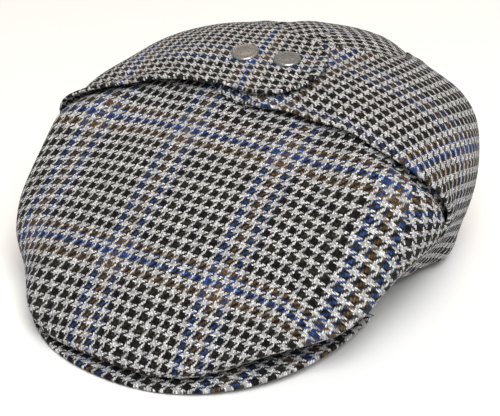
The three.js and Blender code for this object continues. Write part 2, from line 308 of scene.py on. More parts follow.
def ramp(low, high, at):
    """0 below low, 1 above high, and a soft step between."""
    s = np.clip((at - low) / (high - low), 0, 1)
    return s * s * (3 - 2 * s)


print("top of the dome:", dome(np.array([0.0]), np.array([0.001]))[0].round(1))

# %% [markdown]
# ## Where the flaps lie
# Both flaps are drawn on the disk too, so that flap and crown fit each other. A front edge climbs from
# the end of the peak and turns over the crown to the tab, and a back edge climbs the middle of the back
# and leaves the crown free behind the tab. The points are joined by a smooth curve, as with a
# dressmaker's curve ruler.

# %% Flap edges
# Half the gap between the flaps at the middle, and where on the rim their front edges start.
BACK_SEAM = 0.004
FOOT_TURN = math.radians(-39)
FOOT = (math.cos(FOOT_TURN), math.sin(FOOT_TURN))
# Each table runs from the rim to the tab, with the flap's own side taken as positive.
FRONT_LEFT = [FOOT, (0.83, -0.46), (0.77, -0.32), (0.71, -0.22), (0.62, -0.24), (0.5, -0.27)]
FRONT_LEFT += [(0.3, -0.245), (0.13, -0.235), (BACK_SEAM, -0.25)]
FRONT_RIGHT = [FOOT, (0.83, -0.52), (0.78, -0.44), (0.69, -0.39), (0.58, -0.38), (0.48, -0.36)]
FRONT_RIGHT += [(0.36, -0.31), (0.2, -0.24), (BACK_SEAM, -0.22)]
FLAP_BACK = [(BACK_SEAM, 1), (BACK_SEAM, 0.8), (BACK_SEAM, 0.62), (0.12, 0.51), (0.22, 0.33)]
FLAP_BACK += [(0.2, 0.16), (0.12, 0.07), (BACK_SEAM, 0.03)]
# The point at which a front edge turns from the side over the crown, and how softly it does so.
CORNER = 3
CORNER_SOFTNESS = 0.08
CURVE_STEPS = 60


def edge(table, shares):
    """Points at shares of the length of a smooth curve through a table's points."""
    points = np.array(table, float)
    ends = np.vstack([points[:1], points, points[-1:]])
    s = np.linspace(0, 1, CURVE_STEPS, endpoint=False)[:, None]
    fine = []
    for k in range(len(points) - 1):
        p0, p1, p2, p3 = ends[k : k + 4]
        v1 = (p2 - p0) / 2
        v2 = (p3 - p1) / 2
        cubic = 2 * p1 - 2 * p2 + v1 + v2
        square = -3 * p1 + 3 * p2 - 2 * v1 - v2
        fine.append(cubic * s**3 + square * s**2 + v1 * s + p1)
    fine = np.vstack(fine + [points[-1:]])
    run = np.concatenate([[0], np.linalg.norm(np.diff(fine, axis=0), axis=1).cumsum()])
    found = np.stack([np.interp(shares, run / run[-1], fine[:, k]) for k in (0, 1)], -1)
    found[:, 0] = np.maximum(found[:, 0], BACK_SEAM)
    return found


def ahead_of_flap(a, b):
    """How far a place on the disk lies ahead of the flap on its side."""
    found = np.zeros_like(a)
    for table, here in ((FRONT_LEFT, a >= 0), (FRONT_RIGHT, a < 0)):
        edge_a, edge_b = np.array(table).T
        side = np.abs(a[here])
        over = through(edge_a[CORNER:][::-1], edge_b[CORNER:][::-1], side) - b[here]
        beside = through(edge_b[: CORNER + 1], edge_a[: CORNER + 1], b[here]) - side
        # A soft minimum rounds the corner where the edge turns down the side.
        mix = np.clip(0.5 + (beside - over) / CORNER_SOFTNESS, 0, 1)
        found[here] = over * mix + beside * (1 - mix) - CORNER_SOFTNESS / 2 * mix * (1 - mix)
    return found


print("front edges through", len(FRONT_LEFT), "points on the left and", len(FRONT_RIGHT), "on the right")

# %% [markdown]
# ## Sheets of cloth
# A sheet starts as a flat grid, as cloth starts flat on the table. Its vertices are then moved in code
# to where the sewn cloth lies. A cloth simulation could drape it, but this cap is held in shape by its
# seams and pads, so a drape would only blur known lines. The UV map keeps each thread's own place in
# metres, so that the weave follows the cloth.

# %% Helpers for sheets


def flat_grid(name, across, along):
    """Adds a grid; returns it with its vertex numbers in rows, and places from 0 to 1."""
    bpy.ops.object.select_all(action="DESELECT")
    bpy.ops.mesh.primitive_grid_add(x_subdivisions=across, y_subdivisions=along, size=2)
    piece = bpy.context.object
    piece.name = name
    flat = np.zeros(len(piece.data.vertices) * 3)
    piece.data.vertices.foreach_get("co", flat)
    flat = flat.reshape(-1, 3).round(5)
    rows = np.lexsort((flat[:, 0], flat[:, 1])).reshape(along + 1, across + 1)
    return piece, rows, (flat[rows, 0] + 1) / 2, (flat[rows, 1] + 1) / 2


def by_vertex(rows, *values):
    """Values on a grid's rows as columns in the order of its vertices."""
    found = np.zeros((rows.size, len(values)))
    for k, value in enumerate(values):
        found[rows.ravel(), k] = value.ravel()
    return found


def bend_grid(piece, rows, points):
    """Moves a grid's vertices to places in millimetres."""
    moved = np.zeros((rows.size, 3))
    moved[rows.ravel()] = (points.reshape(-1, 3) + SHIFT) / 1000
    piece.data.vertices.foreach_set("co", moved.ravel())
    piece.data.update()


def lay_weave(piece, threads, side_threads=None, inside_side=None):
    """Writes a place in the cloth, in metres, for each vertex to the UV map. Faces that touch the inside
    of a side panel take their places from that panel's cloth."""
    corner = np.zeros(len(piece.data.loops), int)
    piece.data.loops.foreach_get("vertex_index", corner)
    laid = threads[corner]
    if side_threads is not None:
        on_side = np.repeat(inside_side[corner].reshape(-1, 4).any(axis=1), 4)
        laid[on_side] = side_threads[corner][on_side]
    piece.data.uv_layers[0].name = "weave"
    piece.data.uv_layers[0].data.foreach_set("uv", laid.ravel())


def pick(piece):
    """Selects one piece alone and makes it the active one."""
    bpy.ops.object.select_all(action="DESELECT")
    piece.select_set(True)
    bpy.context.view_layer.objects.active = piece


def merge_and_smooth(piece, gap):
    """Merges vertices that lie closer than a gap in metres, and shades the piece smoothly."""
    pick(piece)
    bpy.ops.object.mode_set(mode="EDIT")
    bpy.ops.mesh.select_all(action="SELECT")
    bpy.ops.mesh.remove_doubles(threshold=gap)
    bpy.ops.object.mode_set(mode="OBJECT")
    bpy.ops.object.shade_smooth()


def area_of(piece):
    """The surface of a piece in square metres."""
    return sum(face.area for face in piece.data.polygons)


print("sheet helpers ready")

# %% [markdown]
# ## Houndstooth tweed
# The cloth is wool tweed in a houndstooth: four dark and four light threads by turns, both ways, in a
# 2 and 2 twill, which makes the toothed check all by itself. Every tenth check a band of slate blue,
# brown and slate blue warp runs down the cloth, and every twelfth a band of brown, blue and brown weft
# crosses it. A tiled picture could show this, but weaving it in nodes keeps every thread crisp and true
# to size: 5.95 mm to a check across and 6.46 mm along, eight threads each.

# %% Houndstooth tweed: threads
WARP_CHECK = 0.00595
WEFT_CHECK = 0.00646
THREADS = 8
# Hand-spun yarn bends about once a millimetre and wanders by about a fifth of a thread.
BENDS_PER_M = 900.0
YARN_WANDER = 0.0006
# The dark yarn is a little thicker than the light one. This share of a thread moves each change of colour.
DARK_SWELL = 0.28
tweed, tweed_out = new_material("houndstooth_wool_tweed")
tree = tweed.node_tree
weave = node(tree, "UVMap", uv_map="weave")
wander = node(tree, "TexNoise", {"Vector": weave.outputs[0], "Scale": BENDS_PER_M, "Detail": 2.0})
wobble = node(tree, "VectorMath", {0: wander.outputs["Color"], 1: (0.5, 0.5, 0.5)}, operation="SUBTRACT")
wobble = node(tree, "VectorMath", {0: wobble.outputs[0], "Scale": YARN_WANDER}, operation="SCALE")
yarn = node(tree, "VectorMath", {0: weave.outputs[0], 1: wobble.outputs[0]}, operation="ADD")
place = node(tree, "SeparateXYZ", {0: yarn.outputs[0]})
strands = {}
for name, check, source in (("warp", WARP_CHECK, 0), ("weft", WEFT_CHECK, 1)):
    spot = place.outputs[source]
    count = node(tree, "Math", {0: spot, 1: THREADS / check}, operation="MULTIPLY").outputs[0]
    swing = node(tree, "Math", {0: count, 1: 2 * math.pi / THREADS}, operation="MULTIPLY").outputs[0]
    swing = node(tree, "Math", {0: swing}, operation="COSINE").outputs[0]
    count = node(tree, "Math", {0: swing, 1: DARK_SWELL, 2: count}, operation="MULTIPLY_ADD").outputs[0]
    number = node(tree, "Math", {0: count}, operation="FLOOR").outputs[0]
    in_check = node(tree, "Math", {0: number, 1: THREADS}, operation="FLOORED_MODULO").outputs[0]
    dark = node(tree, "Math", {0: in_check, 1: THREADS / 2}, operation="LESS_THAN").outputs[0]
    across = node(tree, "Math", {0: count}, operation="FRACT").outputs[0]
    half_turn = node(tree, "Math", {0: across, 1: math.pi}, operation="MULTIPLY").outputs[0]
    height = node(tree, "Math", {0: half_turn}, operation="SINE").outputs[0]
    strands[name] = (number, dark, height)
for name, check in (("warp", WARP_CHECK), ("weft", WEFT_CHECK)):
    print(name, "threads", round(check / THREADS * 1000, 2), "mm apart")

# %% [markdown]
# ## The weaver's colour chart
# A chart gives each dark group of four threads its colour. It is a colour ramp with hard steps, read
# once for every ten checks of warp and once for every twelve of weft. Light threads are undyed wool.

# %% Houndstooth tweed: colours
BLACK = "#0f0e12"
OLIVE = "#2b2822"
BLUE = "#2a4c90"
SLATE = "#2c477a"
BROWN = "#68523a"
WOOL = "#e4e4e4"
HEATHER = "#7a7368"
CHARTS = {
    "warp": [SLATE, BROWN, SLATE, BLACK, OLIVE, BLACK, OLIVE, BLACK, OLIVE, BLACK],
    "weft": [BROWN, BLUE, BROWN, BLACK, BLACK, OLIVE, BLACK, BLACK, OLIVE, BLACK, BLACK, OLIVE],
}
# A Mix node has sockets for every kind of data. These are its two colours and their mixture.
COLOUR_A = 6
COLOUR_B = 7
MIXTURE = 2
dyed = {}
for name, chart in CHARTS.items():
    number, dark, height = strands[name]
    share = node(tree, "Math", {0: number, 1: THREADS * len(chart)}, operation="DIVIDE").outputs[0]
    share = node(tree, "Math", {0: share}, operation="FRACT").outputs[0]
    dyes = node(tree, "ValToRGB", {0: share})
    steps = dyes.color_ramp
    steps.interpolation = "CONSTANT"
    steps.elements[1].position = 1 / len(chart)
    for k in range(2, len(chart)):
        steps.elements.new(k / len(chart))
    for k, dye in enumerate(chart):
        steps.elements[k].color = colour(dye)
    choice = {0: dark, COLOUR_A: colour(WOOL), COLOUR_B: dyes.outputs[0]}
    dyed[name] = node(tree, "Mix", choice, data_type="RGBA").outputs[MIXTURE]
print("chart:", {name: len(chart) for name, chart in CHARTS.items()})

# %% [markdown]
# ## Weaving
# In a 2 and 2 twill a warp thread passes over two weft threads and under two, one step on for each
# thread, so the difference of the two thread numbers tells which one shows. Soft noise gives the yarn its
# uneven tone, each crossing gets a tone of its own and a few grey fibres, and the round top of each thread
# becomes a fine bump. Painted shade is laid on too: each thread's colour is darker at its sides, where it
# dips between its neighbours, and a little lighter on its top.

# %% Houndstooth tweed: the weave
TWILL = 4.0
# The yarn is so hairy that some of the thread below shows through the one on top.
SHOW_THROUGH = 0.04
SLUBS_PER_M = 700.0  # slubs about 1.4 mm long
# Crossings are mostly dull and a few are bright: the power keeps most of them low in the range.
FLECK_POWER = 1.9
GREY_FIBRES = 0.09
warp_number, _, warp_height = strands["warp"]
weft_number, _, weft_height = strands["weft"]
step = node(tree, "Math", {0: warp_number, 1: weft_number}, operation="SUBTRACT").outputs[0]
step = node(tree, "Math", {0: step, 1: TWILL}, operation="FLOORED_MODULO").outputs[0]
warp_up = node(tree, "Math", {0: step, 1: TWILL / 2}, operation="LESS_THAN").outputs[0]
# Map Range takes a value, the low and high that it comes from, and the low and high that it goes to.
span = {0: warp_up, 1: 0.0, 2: 1.0, 3: SHOW_THROUGH, 4: 1 - SHOW_THROUGH}
covered = node(tree, "MapRange", span).outputs[0]
choice = {0: covered, COLOUR_A: dyed["weft"], COLOUR_B: dyed["warp"]}
woven = node(tree, "Mix", choice, data_type="RGBA").outputs[MIXTURE]
noise = {"Vector": weave.outputs[0], "Scale": SLUBS_PER_M, "Detail": 3.0}
slub = node(tree, "TexNoise", noise).outputs["Fac"]
tone = node(tree, "MapRange", {0: slub, 1: 0.25, 2: 0.75, 3: 0.75, 4: 1.1}).outputs[0]
thread = node(tree, "Mix", {0: warp_up, 2: weft_height, 3: warp_height}, data_type="FLOAT").outputs[0]
# Painted shade and light: the colour falls to 0.42 at the sides of each thread and rises to 1.1 on its top,
# as light falls on round yarn.
shade = node(tree, "MapRange", {0: thread, 1: 0.0, 2: 1.0, 3: 0.42, 4: 1.1}).outputs[0]
tone = node(tree, "Math", {0: tone, 1: shade}, operation="MULTIPLY").outputs[0]
crossing = node(tree, "CombineXYZ", {0: warp_number, 1: weft_number}).outputs[0]
fleck = node(tree, "TexWhiteNoise", {"Vector": crossing})
bright = node(tree, "Math", {0: fleck.outputs["Value"], 1: FLECK_POWER}, operation="POWER").outputs[0]
bright = node(tree, "MapRange", {0: bright, 1: 0.0, 2: 1.0, 3: 0.43, 4: 1.25}).outputs[0]
tone = node(tree, "Math", {0: tone, 1: bright}, operation="MULTIPLY").outputs[0]
fibres = node(tree, "SeparateColor", {0: fleck.outputs["Color"]}).outputs[2]
fibres = node(tree, "Math", {0: fibres, 1: GREY_FIBRES}, operation="MULTIPLY").outputs[0]
choice = {0: fibres, COLOUR_A: woven, COLOUR_B: colour(HEATHER)}
woven = node(tree, "Mix", choice, data_type="RGBA").outputs[MIXTURE]
# The base colour carries the yarn's tone and the painted shade of its threads.
toned_with_painted_shade = node(tree, "VectorMath", {0: woven, "Scale": tone}, operation="SCALE").outputs[0]
fuzz = node(tree, "Math", {0: slub, 1: 0.8, 2: thread}, operation="MULTIPLY_ADD").outputs[0]
relief = node(tree, "Bump", {"Strength": 0.35, "Distance": 0.0003, "Height": fuzz}).outputs[0]
# Wool scatters light between its hairs: almost no gloss, and a faint sheen where it turns away.
look = {
    "Base Color": toned_with_painted_shade,
    "Roughness": 0.92,
    "Specular IOR Level": 0.06,
    "Sheen Weight": 0.03,
    "Sheen Roughness": 0.6,
    "Normal": relief,
}
wool = node(tree, "BsdfPrincipled", look)
tree.links.new(wool.outputs[0], tweed_out.inputs["Surface"])
print("tweed nodes:", len(tree.nodes))

# %% [markdown]
# ## The crown's fullness
# The crown puffs out ahead of the flaps, where nothing holds it down, and rises a little through the
# opening behind the tab. These forms are soft hills over the dome, given as heights in millimetres on the
# disk. They could be sculpted by brush, but as functions the flaps can ride on them too.

# %% Puff and rise
# Height of the puff in millimetres, from the middle (0) to the side (1).
PUFF_A = [0, 0.3, 0.5, 0.7, 0.9, 1]
PUFF_HEIGHT = [1, 3, 8, 7, 4, 0]
# The puff starts this far ahead of a front edge, on the right already under the upper flap. It rises over
# a width that is less beside the lower flap.
PUFF_START_LEFT = 0.004
PUFF_START_RIGHT = -0.045
PUFF_WIDTH = 0.1
PUFF_STEEPER = 0.045
# The rim holds the cloth in over this share of the radius, and the upper flap holds it down at the far right.
RIM_HOLD = 0.2
RIGHT_HOLD = 0.75
# A crease is pinched in along the lower flap: its depth in millimetres, its place ahead and its width.
PINCH_DEPTH = 1.4
PINCH_AHEAD = 0.006
PINCH_WIDTH = 0.012
# The rise in the opening: its height in millimetres, and its middle and its reach on the disk.
RISE_HEIGHT = 6
RISE_A = -0.02
RISE_B = 0.33
RISE_REACH_A = 0.26
RISE_REACH_B = 0.34


def puff(a, b):
    """How far the crown puffs out ahead of the flaps. The upper flap rides on it with its edge."""
    ahead = ahead_of_flap(a, b)
    start = np.where(a < 0, PUFF_START_RIGHT, PUFF_START_LEFT)
    width = PUFF_WIDTH - PUFF_STEEPER * ramp(0.35, 0.5, a)
    rise = np.sin(np.clip((ahead - start) / width, 0, 1) * np.pi / 2)
    hold = ramp(0, RIM_HOLD, 1 - np.hypot(a, b)) * (1 - RIGHT_HOLD * ramp(0.5, 0.66, -a))
    pinch = PINCH_DEPTH * np.exp(-(((ahead - PINCH_AHEAD) / PINCH_WIDTH) ** 2)) * ramp(0.3, 0.45, a)
    return through(PUFF_A, PUFF_HEIGHT, np.abs(a)) * rise * hold - pinch


def bulge(a, b):
    """How far the crown rises in the opening between the flaps. Their edges there ride on it."""
    off = np.hypot((a - RISE_A) / RISE_REACH_A, (b - RISE_B) / RISE_REACH_B)
    return RISE_HEIGHT * (1 - ramp(0.4, 1.2, off))


def crown_skin(a, b):
    """The crown's outside in millimetres."""
    return dome(a, b) + normal(dome, a, b) * (puff(a, b) + bulge(a, b))[..., None]


print("crown's top in mm:", crown_skin(np.array([0.0]), np.array([0.001]))[0].round(1))

# %% [markdown]
# ## The crown
# The crown is one shell of tweed. The grid is rolled round the dome: its width becomes the way round and
# its length the way up. The two ends then meet, the top row shrinks to a point, and the doubles are merged
# before Solidify gives the wall its 2.2 mm. The sides and back are a panel of their own, whose cloth was cut
# on the slant. Its seam is only a change in the weave, so on each side one column of the grid is bent to
# run along it.

# %% Crown: the shell
# The columns of the grid crowd at the front and its rows at the rim.
FRONT_CROWD = 0.35
RIM_CROWD = 1.2
# The column that is bent to the seam, in radians, and how far round the bend reaches.
SEAM_COLUMN = -0.63
SEAM_BEND = 0.2
crown, rows, u, v = flat_grid("crown_cloth", 340, 130)
column = 2 * np.pi * u - FRONT_CROWD * np.sin(2 * np.pi * u) - np.pi / 2
radius = 1 - v**RIM_CROWD
panel_seam = np.radians(np.interp(radius, [0.6, 0.72, 1], [-30, -38.5, -39]))
beside = column[0][np.argmin(np.abs(column[0] - SEAM_COLUMN))]
turn = column.copy()
for middle, target in ((beside, panel_seam), (np.pi - beside, np.pi - panel_seam)):
    turn += (target - middle) * np.exp(-(((column - middle) / SEAM_BEND) ** 2))
disk_a = radius * np.cos(turn)
disk_b = radius * np.sin(turn)
bend_grid(crown, rows, crown_skin(disk_a, disk_b))
print("crown's seams at", np.degrees([beside, np.pi - beside]).round(1), "degrees before bending")

# %% Crown: the weave and the wall
WALL = 0.0022
# Metres of cloth to the disk's radius, across and along, for the front and for the side panel.
FRONT_CLOTH = (0.2, 0.205)
SIDE_CLOTH = (0.2245, 0.17)
# From the start of a chart to the middle of its band, in checks.
BAND_MIDDLE = 1.25
# One warp band runs about 21 mm to the right of the disk's middle, and one weft band crosses about 73 mm
# ahead of it.
WARP_BAND = 0.021
WEFT_BAND = 0.073
# The side panel's cloth is turned by about 44 degrees. The last two values set where its bands run.
SLANT_COS = 0.73
SLANT_SIN = 0.7
SIDE_BAND = -0.1415
SIDE_WEFT = 0.01
# Worn cloth does not lie straight. The warp drifts: it fans out to the left low at the front, leans and bows
# over the whole front, and leans the other way on the right.
drift = 0.06 * np.minimum(disk_b + 0.5, 0) * ramp(0, 0.15, disk_a) * (1 - ramp(0.2, 0.5, disk_a))
drift += 0.08 * (disk_b + 0.45) - 0.05 * disk_a**2 - 0.08 * disk_a**3
drift -= 0.16 * (disk_b + 0.57) * ramp(0.15, 0.35, -disk_a)
# The weft leans a little, and on the right it lags by up to about one check. lag is counted in checks.
lean = 0.05 * disk_a
lag = 0.15 - 0.9 * np.minimum(disk_a, 0) * ramp(-0.8, -0.4, disk_b)
threads = by_vertex(
    rows,
    (disk_a + drift) * FRONT_CLOTH[0],
    (disk_b - lean) * FRONT_CLOTH[1] + lag * WEFT_CHECK,
)
threads += (WARP_BAND + BAND_MIDDLE * WARP_CHECK, WEFT_BAND + BAND_MIDDLE * WEFT_CHECK)
side = np.abs(disk_a)
side_threads = by_vertex(
    rows,
    (SLANT_COS * side - SLANT_SIN * disk_b) * SIDE_CLOTH[0],
    (SLANT_SIN * side + SLANT_COS * disk_b) * SIDE_CLOTH[1],
)
side_threads += (BAND_MIDDLE * WARP_CHECK + SIDE_BAND, SIDE_WEFT)
behind_seam = np.abs(by_vertex(rows, column)[:, 0] - np.pi / 2) < np.pi / 2 - beside
lay_weave(crown, threads, side_threads, behind_seam)
merge_and_smooth(crown, gap=1e-5)
wall = crown.modifiers.new("wall", "SOLIDIFY")
wall.thickness = WALL
wall.offset = -1
bpy.ops.object.modifier_apply(modifier=wall.name)
crown.data.materials.append(tweed)
print("crown:", len(crown.data.polygons), "faces,", round(area_of(crown) / 2, 4), "square metres of cloth")

# %% [markdown]
# ## Padded sheets
# Flaps and peak are two layers of tweed round a pad or a board, folded at their edges, so each edge is
# round like a hem. A grid lies in the middle of the thickness, and Solidify thickens it to both sides.
# Its vertex group lets the thickness fade to nothing along the quarter round at the edge. A bevel on a
# plain slab could do the same, but it would break the weave where it turns over.

# %% Helpers for padded sheets
# How much the rows and columns of a padded grid crowd at its edges, where it is rounded.
CROWDING = 0.8
# A pad comes to its full thickness this many millimetres in from its edge.
PAD_RISE = 9


def crowd(shares):
    """Moves evenly spaced shares closer together at both ends."""
    return shares - CROWDING * np.sin(2 * np.pi * shares) / (2 * np.pi)


def edge_distances(points):
    """Distances in millimetres along a grid from its first column, last column, first row and last row."""
    gaps = np.linalg.norm(np.diff(points, axis=1), axis=-1)
    left = np.concatenate([np.zeros((len(points), 1)), gaps.cumsum(1)], 1)
    gaps = np.linalg.norm(np.diff(points, axis=0), axis=-1)
    low = np.concatenate([np.zeros((1, points.shape[1])), gaps.cumsum(0)], 0)
    return left, left[:, -1:] - left, low, low[-1:] - low


def fullness(points, hem, hem_share):
    """How full a padded grid is: 0 at its edges, rounding to a share over a hem in millimetres, and 1
    further in."""
    inset = np.minimum.reduce(edge_distances(points))
    share = np.clip(inset / hem, 0, 1)
    return np.sqrt(1 - (1 - share) ** 2) * (hem_share + (1 - hem_share) * ramp(0, PAD_RISE, inset))


def pad_grid(piece, rows, full, thick):
    """Thickens a grid to both sides, by as much as it is full. thick is in millimetres."""
    group = piece.vertex_groups.new(name="fullness")
    for number, weight in zip(rows.ravel().tolist(), full.ravel().tolist()):
        group.add([number], weight, "REPLACE")
    pick(piece)
    pad = piece.modifiers.new("pad", "SOLIDIFY")
    pad.thickness = thick / 1000
    pad.offset = 0
    pad.vertex_group = group.name
    pad.thickness_vertex_group = 0
    bpy.ops.object.modifier_apply(modifier=pad.name)
    merge_and_smooth(piece, gap=2e-5)


print("pad helpers ready")

# %% [markdown]
# ## The peak
# The peak is a board covered with the same tweed, a crescent between two squarish half circles. It lies
# flat at the front and climbs towards its ends. Only its rim shows under the front of the crown, and its
# weave runs on from the crown's.

# %% Peak
PEAK_THICK = 3.6
# The outer half circle in millimetres, how much smaller the inner one is, and how square both are.
PEAK_ENDS_Y = -25
PEAK_HALF_WIDTH = 89.4
PEAK_LENGTH = 103.3
INNER_NARROWER = 10
INNER_SHORTER = 52
SQUARENESS = 2.18
# The board is flat for a few millimetres, then climbs, and is crowned a little behind its front edge.
PEAK_FLAT = 4
PEAK_CLIMB = 0.09
PEAK_CROWNED = 0.4
# The middle plane's place in the warp, in checks.
PEAK_WARP_START = 1.9
peak, rows, u, v = flat_grid("peak_cloth", 160, 36)
turn = np.pi * u
ring = crowd(v)
half_width = PEAK_HALF_WIDTH - INNER_NARROWER * ring
length = PEAK_LENGTH - INNER_SHORTER * ring
side = np.sign(np.cos(turn)) * np.abs(np.cos(turn)) ** (2 / SQUARENESS)
x = -half_width * side
y = PEAK_ENDS_Y - length * np.sin(turn) ** (2 / SQUARENESS)
climb = np.maximum(y - PEAK_FRONT_Y - PEAK_FLAT, 0) * PEAK_CLIMB
crowned = PEAK_CROWNED * ramp(0, 0.2, ring) * ramp(50, 95, -y)
points = np.stack([x - (y - AXIS_Y) ** 2 * ASKEW, y, climb + PEAK_THICK / 2 + crowned], -1)
bend_grid(peak, rows, points)
lay_weave(peak, by_vertex(rows, x / 1000 + PEAK_WARP_START * WARP_CHECK, y / 1000))
pad_grid(peak, rows, fullness(points, hem=1.6, hem_share=0.75), PEAK_THICK)
peak.data.materials.append(tweed)
print("peak:", len(peak.data.polygons), "faces")

# %% [markdown]
# ## The earflaps
# Each flap runs up from the rim over the crown, and the two end in tabs that lie on each other on top.
# The patch between its four edges is filled as a sail is: straight lines between the front and the
# back edge, corrected so that the rim and the round tab end are met too. The cloth of a flap is cut in
# another direction than the cloth of the crown, so its unwrapped patch is turned, and laid so that its
# bands cross the flap where the real ones do.

# %% Helpers for flaps
# Columns at an edge whose places in the cloth are laid anew, and the columns further in that show the way.
SQUEEZED = 14
GUIDE = 4


def flap_disk(front, tab, u, v):
    """Places on the disk for a flap, its side taken as positive. tab is how far its round end reaches."""
    shares_u = u[0]
    shares_v = v[:, 0]
    front_edge = edge(front, shares_v)
    back_edge = edge(FLAP_BACK, shares_v)
    turn = math.atan2(front[0][1], front[0][0]) * (1 - shares_u) + math.atan2(1, BACK_SEAM) * shares_u
    rim = np.stack([np.cos(turn), np.sin(turn)], -1)
    slide = ((1 - np.cos(np.pi * shares_u)) / 2)[:, None]
    tab_end = front_edge[-1] * (1 - slide) + back_edge[-1] * slide
    tab_end[:, 0] -= tab * np.sin(np.pi * shares_u)
    across = shares_u[:, None]
    rim -= rim[0] * (1 - across) + rim[-1] * across
    tab_end -= tab_end[0] * (1 - across) + tab_end[-1] * across
    up = shares_v[:, None, None]
    across = across[None]
    ruled = front_edge[:, None] * (1 - across) + back_edge[:, None] * across
    return ruled + rim[None] * (1 - up) + tab_end[None] * up


def straighten_edge(grid):
    """Unwrapping squeezes the narrow faces at an edge. The first columns of a grid of places in the cloth
    are laid anew, on from the columns further in."""
    shares = crowd(np.linspace(0, 1, grid.shape[1]))
    inner = grid[:, SQUEEZED].copy()
    slope = (grid[:, SQUEEZED + GUIDE] - inner) / (shares[SQUEEZED + GUIDE] - shares[SQUEEZED])
    for k in range(SQUEEZED):
        grid[:, k] = inner + slope * (shares[k] - shares[SQUEEZED])


def unwrap_flat(piece, rows):
    """Lays a piece's vertices flat at their real size in metres, with its squeezed edges laid anew."""
    pick(piece)
    bpy.ops.object.mode_set(mode="EDIT")
    bpy.ops.mesh.select_all(action="SELECT")
    bpy.ops.uv.unwrap(method="MINIMUM_STRETCH", iterations=12, margin=0)
    bpy.ops.object.mode_set(mode="OBJECT")
    corner = np.zeros(len(piece.data.loops), int)
    piece.data.loops.foreach_get("vertex_index", corner)
    laid = np.zeros(len(corner) * 2)
    piece.data.uv_layers[0].data.foreach_get("uv", laid)
    flat = np.zeros((rows.size, 2))
    flat[corner] = laid.reshape(-1, 2)
    size = 0
    for face in piece.data.polygons:
        p = flat[list(face.vertices)]
        q = np.roll(p, -1, 0)
        size += abs((p[:, 0] * q[:, 1] - p[:, 1] * q[:, 0]).sum()) / 2
    flat *= math.sqrt(area_of(piece) / size)
    grid = flat[rows]
    turned = grid.transpose(1, 0, 2)
    for from_edge in (grid, grid[:, ::-1], turned, turned[:, ::-1]):
        straighten_edge(from_edge)
    flat[rows.ravel()] = grid.reshape(-1, 2)
    return flat


def turn_to_weave(flat, pins, band, finer):
    """Turns flat cloth so that the way from the first pin to the second crosses the weft, and puts the
    first pin on the place in the weave that band gives. finer draws the checks smaller where it is above 1
    and larger where it is below 1, across and along."""
    along = pins[1] - pins[0]
    along /= np.linalg.norm(along)
    down = np.array([[-along[1], along[0]], [-along[0], -along[1]]]).T
    return (flat - pins[0]) @ down * np.array(finer) + np.array(band)


print("flap helpers ready")

# %% [markdown]
# ## Laying the flaps
# The lower flap is the wearer's left one, and the upper flap climbs over its end. Their free edges stand a
# few millimetres off the cloth below, so that they throw a dark line on it: the upper flap's front and
# tab, and the lower flap's front on top and beside the crease. At the opening behind the tab the edges are
# pressed thin.

# %% How the flaps lie
# Thickness of a flap, its gap to the crown and the gap between the two, in millimetres.
FLAP_THICK = 3
GAP = 0.6
STACK_GAP = 0.2
# start and end are places on the disk, and the weave is turned to run from one to the other. band is the
# place of start in the weave, in checks.
FLAPS = {
    "left_flap_cloth": {
        "solid": "earflap_left",
        "side": 1,
        "over": False,
        "front": FRONT_LEFT,
        "tab": 0.2,
        "start": (0.12, 0.0),
        "end": (0.53, -0.04),
        "finer": (1.2, 0.94),
        "band": (0.7, 1.3),
    },
    "right_flap_cloth": {
        "solid": "earflap_right",
        "side": -1,
        "over": True,
        "front": FRONT_RIGHT,
        "tab": 0.14,
        "start": (-0.075, -0.097),
        "end": (0.12, -0.055),
        "finer": (1.25, 1.18),
        "band": (1.6, 1.85),
    },
}
# How far a free edge stands off in millimetres, and over which width it bends up.
STAND_OFF = 3
UPPER_BEND = 9
LOWER_BEND = 8
CREASE_BEND = 14
# The upper flap's edge lies closer at its far right end.
HELD_CLOSE = 0.7
PRESSED_THIN = 0.4
PRESSED_WIDTH = 12
# The lower edge stays clear of the table.
TABLE_GAP = 0.3


def flap_lift(over, a, b):
    """How far a flap's inside lies off the dome."""
    if not over:
        return GAP + bulge(a, b)
    stacked = ramp(-0.4, -0.22, a) * (1 - ramp(0.03, 0.16, b))
    return GAP + bulge(a, b) + (FLAP_THICK + STACK_GAP) * stacked


def free_edge(over, a, b, v, from_front, from_tab):
    """How far a flap's free edges are bent away from the crown."""
    if over:
        bent = 1 - ramp(0, UPPER_BEND, np.minimum(from_front, from_tab))
        bent = STAND_OFF * bent * (1 - HELD_CLOSE * ramp(0.5, 0.7, -a))
        # On the right the edge also rides on the crown's puff.
        return bent + puff(np.minimum(a, -1e-6), b) * ramp(0.05, 0.3, -a)
    on_top = (1 - ramp(0, LOWER_BEND, from_front)) * ramp(-0.1, 0, a) * (1 - ramp(0.3, 0.42, a))
    at_crease = (1 - ramp(0, CREASE_BEND, from_front)) * ramp(0.35, 0.5, a) * ramp(0, 0.15, v)
    return STAND_OFF * (on_top + at_crease)


print("flaps to lay:", list(FLAPS))

